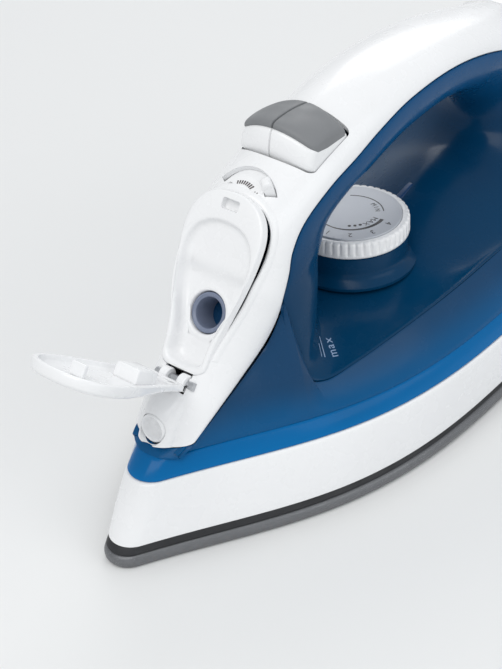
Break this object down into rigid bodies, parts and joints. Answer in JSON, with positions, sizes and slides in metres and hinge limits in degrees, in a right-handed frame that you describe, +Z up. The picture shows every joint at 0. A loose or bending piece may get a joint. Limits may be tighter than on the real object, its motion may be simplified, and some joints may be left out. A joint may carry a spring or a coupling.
{
  "type": "steam iron",
  "caption": "Household steam iron with a pointed metal sole, see-through water tank, hinged filler lid, spray and steam buttons, steam lever and heat dial.",
  "frame": {"origin": "middle of the sole's flat underside, halfway between its nose tip and its back edge", "axes": "+X to the nose, +Y to the iron's left side, +Z up from the sole to the handle"},
  "size_m": [0.2834, 0.1124, 0.1322],
  "materials": {
    "gloss_white": "gloss white moulded shells",
    "tank_blue": "deep blue translucent polycarbonate",
    "azure_blue": "brighter azure band of the tank base",
    "pad_grey": "soft-touch grey button pads",
    "shield_black": "black heat-resistant shield",
    "sole_anthracite": "cast sole with a speckled anthracite non-stick coat",
    "plain_aluminium": "bare sheet",
    "steel": "plain steel",
    "brass": "turned brass",
    "silver_print": "silver printed disc",
    "black_rubber": "moulded rubber",
    "seal_rubber": "grey-blue translucent seal",
    "ceramic": "off-white heat-resistant insulator",
    "lens_red": "small red pilot lens"
  },
  "bodies": {
    "housing": {"soleplate": "sole_anthracite", "heating_element": "steel", "steam_chamber_cover": "plain_aluminium", "heat_shield": "shield_black", "skirt": "gloss_white", "tank_base": "azure_blue", "water_tank": "tank_blue", "upper_body": "tank_blue", "handle_cover": "gloss_white", "rear_cover": "gloss_white", "rear_cover_screw": "steel", "heel_foot_left": "black_rubber", "heel_foot_right": "black_rubber", "filler_tray": "gloss_white", "filler_neck_seal": "seal_rubber", "lid_hinge_pin": "steel", "spray_nozzle": "gloss_white", "nozzle_tip": "gloss_white", "spray_pump": "ceramic", "steam_pump": "ceramic", "spray_spring": "steel", "steam_spring": "steel", "drip_valve_seat": "brass", "thermostat": "ceramic", "thermal_fuse": "ceramic", "terminal_block": "ceramic", "lamp_lens": "lens_red", "pilot_lamp": "ceramic", "spray_hose": "black_rubber", "sole_screw_front": "steel", "sole_screw_left": "steel", "sole_screw_right": "steel"},
    "lid": {"filler_lid": "gloss_white"},
    "spray_key": {"spray_button": "gloss_white", "spray_button_pad": "pad_grey", "spray_piston": "gloss_white"},
    "steam_key": {"steam_button": "gloss_white", "steam_button_pad": "pad_grey", "steam_piston": "gloss_white"},
    "lever": {"steam_lever": "gloss_white"},
    "valve_rod": {"steam_rod": "ceramic"},
    "dial": {"temperature_dial": "gloss_white", "dial_plate": "silver_print", "dial_spindle": "steel"},
    "gland": {"cord_gland": "black_rubber"}
  },
  "joints": [
    {"name": "lid_hinge", "type": "hinge", "parent": "housing", "child": "lid", "pos_m": [0.0746, 0, 0.0569], "axis": [0, 1, 0], "range_deg": [-87.8, 0]},
    {"name": "spray_press", "type": "slide", "parent": "housing", "child": "spray_key", "axis": [-0.3223, 0, -0.9466], "range_m": [0, 0.003], "stiffness_N_per_m": 900, "deforming": ["spray_spring"]},
    {"name": "steam_press", "type": "slide", "parent": "housing", "child": "steam_key", "axis": [-0.3223, 0, -0.9466], "range_m": [0, 0.003], "stiffness_N_per_m": 900, "deforming": ["steam_spring"]},
    {"name": "lever_turn", "type": "hinge", "parent": "housing", "child": "lever", "pos_m": [0.0401, 0, 0.1099], "axis": [0.4384, 0, 0.8988], "range_deg": [0, 88]},
    {"name": "rod_turn", "type": "hinge", "parent": "housing", "child": "valve_rod", "pos_m": [0.034, 0, 0.06], "axis": [0, 0, 1], "range_deg": [0, 88]},
    {"name": "dial_turn", "type": "hinge", "parent": "housing", "child": "dial", "pos_m": [-0.0245, 0, 0.07], "axis": [0, 0, 1], "range_deg": [-268, 22]},
    {"name": "gland_swivel", "type": "hinge", "parent": "housing", "child": "gland", "pos_m": [-0.134, 0, 0.108], "axis": [-0.581, 0, 0.8139], "continuous": true}
  ],
  "couplings": [
    {"joint": "rod_turn", "follows": "lever_turn", "ratio": 1}
  ]
}
